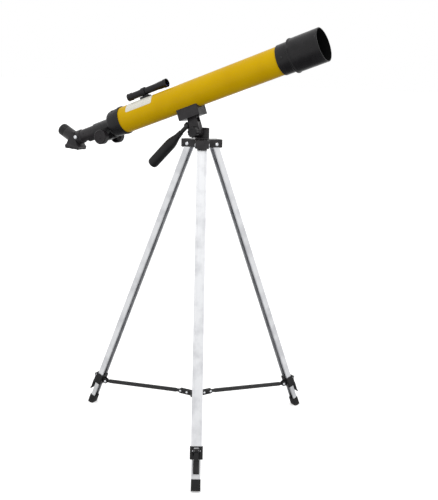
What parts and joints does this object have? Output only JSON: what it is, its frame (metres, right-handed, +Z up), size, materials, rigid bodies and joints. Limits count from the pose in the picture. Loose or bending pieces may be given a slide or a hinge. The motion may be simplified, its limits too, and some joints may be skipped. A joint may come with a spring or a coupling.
{
  "type": "telescope on tripod",
  "caption": "Small refracting telescope with a rack focuser, angled eyepiece and finder, on a pan-and-tilt head and a folding tripod with channel legs and a spreader.",
  "frame": {"origin": "on the floor, at the centre of the bottom of the whole model's box", "axes": "+Z up, +X the way the telescope points, +Y to the telescope's left; the telescope is tipped up by 20 degrees about Y"},
  "size_m": [0.6522, 0.5198, 0.8848],
  "materials": {
    "tube_enamel": "gloss",
    "black_moulding": "satin",
    "collar_moulding": "satin",
    "leg_aluminium": "satin",
    "bright_plating": "polished",
    "black_enamel": "satin",
    "foot_rubber": "matte",
    "lens_glass": "polished"
  },
  "bodies": {
    "crown": {"crown": "black_moulding", "leg_rivets": "bright_plating"},
    "leg_right": {"outer_leg_right": "leg_aluminium", "leg_collar_right": "collar_moulding", "collar_pins_right": "bright_plating"},
    "leg_extension_right": {"inner_leg_right": "leg_aluminium", "foot_right": "foot_rubber"},
    "lever_right": {"lock_lever_right": "collar_moulding"},
    "arm_right": {"spreader_arm_right": "black_enamel"},
    "leg_left": {"outer_leg_left": "leg_aluminium", "leg_collar_left": "collar_moulding", "collar_pins_left": "bright_plating"},
    "leg_extension_left": {"inner_leg_left": "leg_aluminium", "foot_left": "foot_rubber"},
    "lever_left": {"lock_lever_left": "collar_moulding"},
    "arm_left": {"spreader_arm_left": "black_enamel"},
    "leg_rear": {"outer_leg_rear": "leg_aluminium", "leg_collar_rear": "collar_moulding", "collar_pins_rear": "bright_plating"},
    "leg_extension_rear": {"inner_leg_rear": "leg_aluminium", "foot_rear": "foot_rubber"},
    "lever_rear": {"lock_lever_rear": "collar_moulding"},
    "arm_rear": {"spreader_arm_rear": "black_enamel"},
    "hub": {"spreader_hub": "black_moulding", "hub_rivets": "bright_plating"},
    "head_pan": {"pan_base": "black_moulding", "pan_bolt": "bright_plating", "tilt_bolt": "bright_plating"},
    "tilt_knob": {"tilt_knob": "black_moulding"},
    "scope": {"tilt_column": "black_moulding", "handle_rod": "black_enamel", "handle_grip": "black_moulding", "saddle_block": "black_moulding", "main_tube": "tube_enamel", "tube_baffle": "black_enamel", "objective_cell": "black_moulding", "objective_lens": "lens_glass", "lens_ring": "black_enamel", "dew_shield": "black_moulding", "rear_cell": "black_moulding", "focuser_housing": "black_enamel", "scope_screws": "bright_plating", "finder_bracket": "black_moulding", "finder_tube": "black_moulding", "finder_lenses": "lens_glass"},
    "mount_screw": {"mount_screw": "black_moulding"},
    "draw": {"draw_tube": "black_enamel", "focus_rack": "black_moulding"},
    "focus": {"pinion_shaft": "bright_plating", "focus_knob_left": "black_moulding", "focus_knob_right": "black_moulding"},
    "draw_screw": {"draw_clamp_screw": "bright_plating"},
    "diagonal": {"diagonal_housing": "black_moulding", "diagonal_cover": "black_moulding", "erecting_prism": "lens_glass", "diagonal_screws": "bright_plating"},
    "eyepiece": {"eyepiece": "black_moulding", "eyepiece_lenses": "lens_glass"},
    "eyepiece_screw": {"eyepiece_clamp_screw": "bright_plating"}
  },
  "joints": [
    {"name": "fold_right", "type": "hinge", "parent": "crown", "child": "leg_right", "pos_m": [0.06683, -0.02477, 0.64565], "axis": [0.866, 0.5, 0], "range_deg": [0, 18]},
    {"name": "extend_right", "type": "slide", "parent": "leg_right", "child": "leg_extension_right", "axis": [0.1873, -0.3244, -0.9272], "range_m": [0, 0.53]},
    {"name": "lever_right", "type": "hinge", "parent": "leg_right", "child": "lever_right", "pos_m": [0.18806, -0.23474, 0.07546], "axis": [-0.866, -0.5, 0], "range_deg": [0, 95]},
    {"name": "arm_right", "type": "hinge", "parent": "leg_right", "child": "arm_right", "pos_m": [0.1762, -0.2142, 0.06156], "axis": [0.866, 0.5, 0], "range_deg": [0, 61.49]},
    {"name": "fold_left", "type": "hinge", "parent": "crown", "child": "leg_left", "pos_m": [0.06683, 0.02477, 0.64565], "axis": [-0.866, 0.5, 0], "range_deg": [0, 18]},
    {"name": "extend_left", "type": "slide", "parent": "leg_left", "child": "leg_extension_left", "axis": [0.1873, 0.3244, -0.9272], "range_m": [0, 0.53]},
    {"name": "lever_left", "type": "hinge", "parent": "leg_left", "child": "lever_left", "pos_m": [0.18806, 0.23474, 0.07546], "axis": [0.866, -0.5, 0], "range_deg": [0, 95]},
    {"name": "arm_left", "type": "hinge", "parent": "leg_left", "child": "arm_left", "pos_m": [0.1762, 0.2142, 0.06156], "axis": [-0.866, 0.5, 0], "range_deg": [0, 61.49]},
    {"name": "fold_rear", "type": "hinge", "parent": "crown", "child": "leg_rear", "pos_m": [0.02393, 0, 0.64565], "axis": [0, -1, 0], "range_deg": [0, 18]},
    {"name": "extend_rear", "type": "slide", "parent": "leg_rear", "child": "leg_extension_rear", "axis": [-0.3746, 0, -0.9272], "range_m": [0, 0.53]},
    {"name": "lever_rear", "type": "hinge", "parent": "leg_rear", "child": "lever_rear", "pos_m": [-0.21852, 0, 0.07546], "axis": [0, 1, 0], "range_deg": [0, 95]},
    {"name": "arm_rear", "type": "hinge", "parent": "leg_rear", "child": "arm_rear", "pos_m": [-0.1948, 0, 0.06156], "axis": [0, -1, 0], "range_deg": [0, 61.49]},
    {"name": "hub_lift", "type": "slide", "parent": "crown", "child": "hub", "axis": [0, 0, 1], "range_m": [0, 0.15016]},
    {"name": "pan", "type": "hinge", "parent": "crown", "child": "head_pan", "pos_m": [0.05253, 0, 0.65565], "axis": [0, 0, 1], "continuous": true},
    {"name": "tilt_knob", "type": "hinge", "parent": "head_pan", "child": "tilt_knob", "pos_m": [0.04053, -0.02, 0.67065], "axis": [0, -1, 0], "range_deg": [-270, 0]},
    {"name": "tilt", "type": "hinge", "parent": "head_pan", "child": "scope", "pos_m": [0.04053, 0, 0.67065], "axis": [0, -1, 0], "range_deg": [-60, 13]},
    {"name": "mount_screw_turn", "type": "hinge", "parent": "scope", "child": "mount_screw", "pos_m": [0.0321, 0, 0.69382], "axis": [-0.342, 0, 0.9397], "range_deg": [0, 360]},
    {"name": "focus_travel", "type": "slide", "parent": "scope", "child": "draw", "axis": [-0.9397, 0, -0.342], "range_m": [-0.038, 0.038]},
    {"name": "focus_turn", "type": "hinge", "parent": "scope", "child": "focus", "pos_m": [-0.18621, 0, 0.64756], "axis": [0, -1, 0], "range_deg": [-454.6, 454.6]},
    {"name": "draw_screw_turn", "type": "hinge", "parent": "draw", "child": "draw_screw", "pos_m": [-0.26556, -0.02, 0.64188], "axis": [0, -1, 0], "range_deg": [-360, 0]},
    {"name": "diagonal_turn", "type": "hinge", "parent": "draw", "child": "diagonal", "pos_m": [-0.27166, 0, 0.63966], "axis": [0.9397, 0, 0.342], "range_deg": [-30, 200]},
    {"name": "eyepiece_draw", "type": "slide", "parent": "diagonal", "child": "eyepiece", "axis": [-0.8829, 0, 0.4695], "range_m": [0, 0.035]},
    {"name": "eyepiece_screw_turn", "type": "hinge", "parent": "diagonal", "child": "eyepiece_screw", "pos_m": [-0.29955, 0.02, 0.64691], "axis": [0, 1, 0], "range_deg": [-360, 0]}
  ],
  "couplings": [
    {"joint": "arm_right", "follows": "fold_right", "ratio": 3.4131},
    {"joint": "fold_left", "follows": "fold_right", "ratio": 1},
    {"joint": "arm_left", "follows": "fold_right", "ratio": 3.4131},
    {"joint": "fold_rear", "follows": "fold_right", "ratio": 1},
    {"joint": "arm_rear", "follows": "fold_right", "ratio": 3.4131},
    {"joint": "hub_lift", "follows": "fold_right", "m_per_rad": 0.47735},
    {"joint": "focus_turn", "follows": "focus_travel", "rad_per_m": 208.33}
  ]
}
